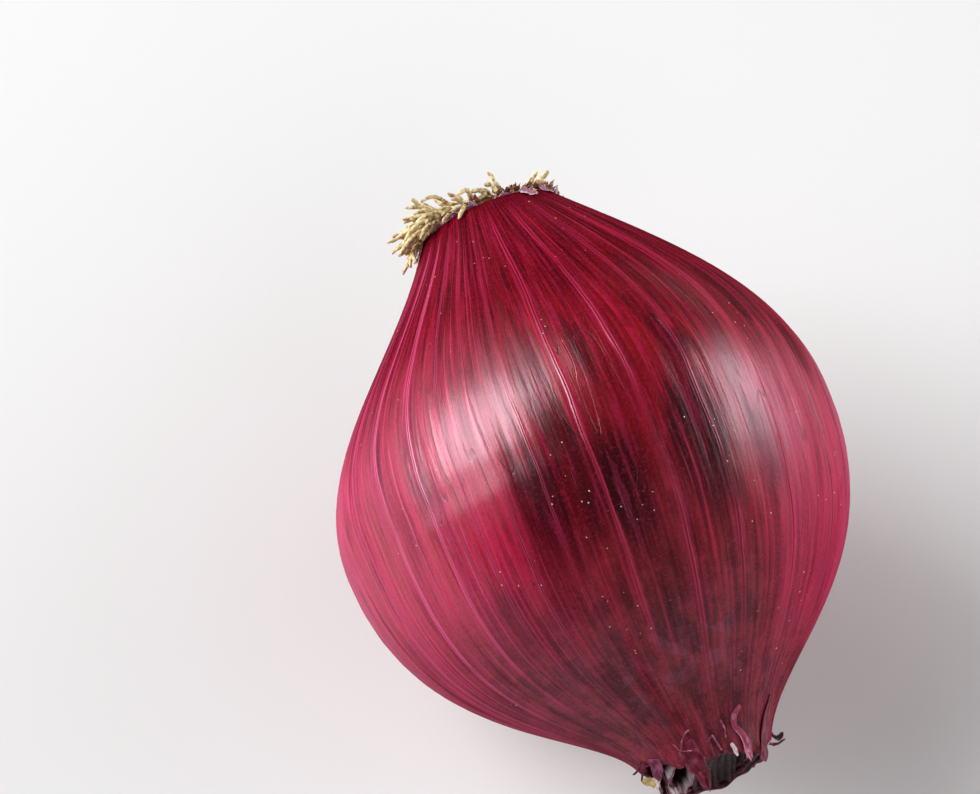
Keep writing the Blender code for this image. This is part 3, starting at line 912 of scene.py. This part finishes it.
def makeTubePiece(material):
    # an open leaf stub, a little crushed, cut slantwise at the mouth
    def place(u, v):
        angle = -math.tau * u - math.radians(90.0)
        ringed = Vector((math.cos(angle), math.sin(angle), 0.0))
        crush = 1.0 + 0.10 * math.sin(2.0 * angle + 0.6)
        crush += 0.12 * noise.noise(ringed * 1.5 + Vector((0.0, 0.0, v)))
        x = tube["middle"][0] + tube["halves"][0] * ringed.x * crush * (0.85 + 0.2 * v)
        y = tube["middle"][1] + tube["halves"][1] * ringed.y * crush * (0.85 + 0.2 * v)
        lip = tube["mouth"] + tube["slope"] * y + 0.5 * noise.noise(ringed * 2.0 + Vector((0.0, 0.0, 7.0)))
        return Vector((x, y, lip - tube["depth"] * (1.0 - v)))

    return makeSheet("neckTube", 56, 18, place, 0.35, material, "neck_tube", "crimson_skin")


def makeFan(material):
    # dried inner leaves, folded like a fan from the near side of the mouth to the far side
    def place(u, v):
        y = 1.0 - 2.0 * v
        x = fan["from"] + (fan["to"] - fan["from"]) * u + 1.3 * (1.0 - y * y) * (u - 0.3)
        inside = max(1.0 - ((x - neckCentre.x) / (neckHalves[0] - 0.9)) ** 2, 0.02) ** 0.5
        depth = neckCentre.y + y * (neckHalves[1] - 1.0) * inside
        phase = u * fan["ridges"] * math.tau + 1.2 * noise.noise(Vector((u * 5.0, v * 1.5, 2.0)))
        ridge = abs(math.sin(phase * 0.5)) * (0.7 + 0.8 * noise.noise(Vector((u * 8.0, v * 2.0, 5.0))))
        sag = 1.1 * (1.0 - y * y) * (0.4 + u)
        height = fan["mouth"] + fan["slope"] * depth - sag + fan["rise"] * ridge
        height += 0.5 * noise.noise(Vector((u * 7.0, v * 1.0, 9.0)))
        return Vector((x, depth, height))

    return makeSheet("neckFan", 200, 26, place, 0.16, material, "neck_sheath", "dark_skin", 0)


def makeSheathLayers(material):
    # the dry leaf bases the fan lies in, standing one inside the other round the mouth
    pieces = []
    for layer in range(sheath["layers"]):
        share, seed = sheath["share"] - sheath["step"] * layer, 3.7 * layer

        def place(u, v):
            angle = math.radians(sheath["start"] - u * sheath["sweep"])
            lip = 0.7 * noise.noise(Vector((u * 14.0, seed, 2.0))) - 0.5 * layer
            waver = share + 0.03 * noise.noise(Vector((u * 18.0, v, seed)))
            x = neckCentre.x + neckHalves[0] * math.cos(angle) * waver
            y = neckCentre.y + neckHalves[1] * math.sin(angle) * waver
            top = bulbLength / mm + 0.6 + fan["slope"] * y + lip
            return Vector((x, y, top - sheath["depth"] * (1.0 - v)))

        pieces.append(makeSheet("sheathLayer", 150, 8, place, 0.16, material, None, "dark_skin", 0))
    whole = joinPieces(pieces, "neckSheath")
    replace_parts(whole, "neck_sheath")
    return whole


def makeTubeFinish():
    # painted shade deep inside, whitish towards the torn mouth
    lining = Finish("tubeLining", Roughness=0.5, Specular_IOR_Level=0.3)
    u, v, _ = lining.split(lining.node("ShaderNodeTexCoord", output="UV"))
    threads = lining.noise(lining.join(u * 30.0, v * 2.0, 0.0), 1.0, 3.0)
    pink, whitish, dark = linear(176, 120, 140), linear(238, 228, 230), linear(34, 10, 16)
    colour = lining.mixColour(pink, whitish, lining.between(0.35, 0.6, threads))
    # painted shade: darker the deeper inside the tube
    depth = lining.between(0.74, 0.94, v + (threads - 0.5) * 0.2)
    colour = lining.mixColour(dark, colour, depth)
    colour = lining.mixColour(colour, linear(120, 24, 64), lining.between(0.965, 0.985, v) * 0.8)
    lining.feed(Base_Color=colour, Normal=lining.bump(threads, 0.15 * mm))
    return lining.material


def makeNeck():
    makeTubePiece(makeTubeFinish())
    makeSheathLayers(dryFinishes["dark"])
    makeFan(dryFinishes["fan"])
    for index, (name, strip) in enumerate(strips.items()):
        place = stripPlacer(strip["path"], 1.7 * index, 0.12, strip["crease"])
        makeSheet(name, 12, 26, place, 0.18, dryFinishes[strip["finish"]], strip["node"], strip["slot"])
    pieces = []
    for index, tear in enumerate(tears):
        path = [(angle, height, 0.06, 0.09, 0.0) for angle, height in tear]
        place = stripPlacer(path, 5.1 * index, 0.1, 0.12)
        pieces.append(makeSheet("tear", 4, 24, place, 0.14, dryFinishes["pink"], None, "pink_skin", 0))
    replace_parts(joinPieces(pieces, "skinTears"), "bulb")


makeNeck()
print("neck made")


stage = {
    "floor": {"size": 6.0, "height": -0.0003, "colour": (0.76, 0.76, 0.76, 1.0)},
    "backdrop": {"radius": 2.5, "height": 5.0, "colour": (0.80, 0.80, 0.80, 1.0)},
    "worldColour": (0.95, 0.97, 1.0, 1.0),
    "worldStrength": 0.025,
    "lens": 120.0,
    "azimuth": -21.7,
    "elevation": 63.3,
    "distance": 0.4775,
    "aim": (-0.0081, 0.0165, 0.037),
    "lightsAim": (0.0, 0.0, 0.037),
    "lights": {
        # direction from the onion, distance, width, height, power, shows in reflections
        "leftWindow": ((-0.63, 0.53, 0.56), 1.80, 3.00, 1.90, 30.0, True),
        "leftPane": ((-0.64, 0.50, 0.58), 1.75, 1.30, 1.25, 30.0, True),
        "rightWindow": ((0.95, -0.06, 0.28), 1.80, 2.20, 0.95, 11.0, True),
        "rightPane": ((0.96, 0.0, 0.29), 1.75, 1.15, 0.80, 10.0, True),
        "frontFill": ((0.40, -0.75, 0.53), 1.80, 2.60, 1.60, 17.0, False),
    },
}


def makeBackdrop():
    # a pale wall all round, seen by the camera only, so that it neither lights the onion nor shows in it
    wall = stage["backdrop"]
    deselectAll()
    bpy.ops.mesh.primitive_cylinder_add(vertices=96, radius=wall["radius"], depth=wall["height"])
    backdrop = latest("backdrop")
    paint = Finish("backdropPaint", Base_Color=(0.0, 0.0, 0.0, 1.0), Specular_IOR_Level=0.0,
                   Emission_Color=wall["colour"], Emission_Strength=1.0)
    backdrop.data.materials.append(paint.material)
    for ray in ("diffuse", "glossy", "transmission", "shadow"):
        setattr(backdrop, "visible_" + ray, False)


def makeStage():
    deselectAll()
    ground = stage["floor"]
    bpy.ops.mesh.primitive_plane_add(size=ground["size"], location=(0.0, 0.0, ground["height"]))
    floor = latest("floor")
    paper = Finish("palePaper", Base_Color=ground["colour"], Roughness=0.9)
    floor.data.materials.append(paper.material)
    makeBackdrop()
    world = bpy.data.worlds.new("studio")
    world.use_nodes = True
    sky = world.node_tree.nodes["Background"]
    sky.inputs["Color"].default_value = stage["worldColour"]
    sky.inputs["Strength"].default_value = stage["worldStrength"]
    bpy.context.scene.world = world
    bpy.context.scene.view_settings.view_transform = "Standard"
    target = Vector(stage["lightsAim"])
    for name, (direction, distance, width, height, power, shiny) in stage["lights"].items():
        lamp = bpy.data.lights.new(name, "AREA")
        lamp.shape = "RECTANGLE"
        lamp.size, lamp.size_y = width, height
        lamp.energy = power
        holder = bpy.data.objects.new(name, lamp)
        holder.location = target + Vector(direction).normalized() * distance
        holder.rotation_euler = (target - holder.location).to_track_quat("-Z", "Y").to_euler()
        holder.visible_glossy = shiny
        bpy.context.scene.collection.objects.link(holder)


def makeCamera():
    azimuth, elevation = math.radians(stage["azimuth"]), math.radians(stage["elevation"])
    back = Vector((math.sin(azimuth) * math.cos(elevation), -math.cos(azimuth) * math.cos(elevation),
                   math.sin(elevation)))
    data = bpy.data.cameras.new("camera")
    data.lens = stage["lens"]
    camera = bpy.data.objects.new("camera", data)
    camera.location = Vector(stage["aim"]) + back * stage["distance"]
    camera.rotation_euler = (-back).to_track_quat("-Z", "Y").to_euler()
    bpy.context.scene.collection.objects.link(camera)
    bpy.context.scene.camera = camera


makeStage()
makeCamera()
print("stage set")
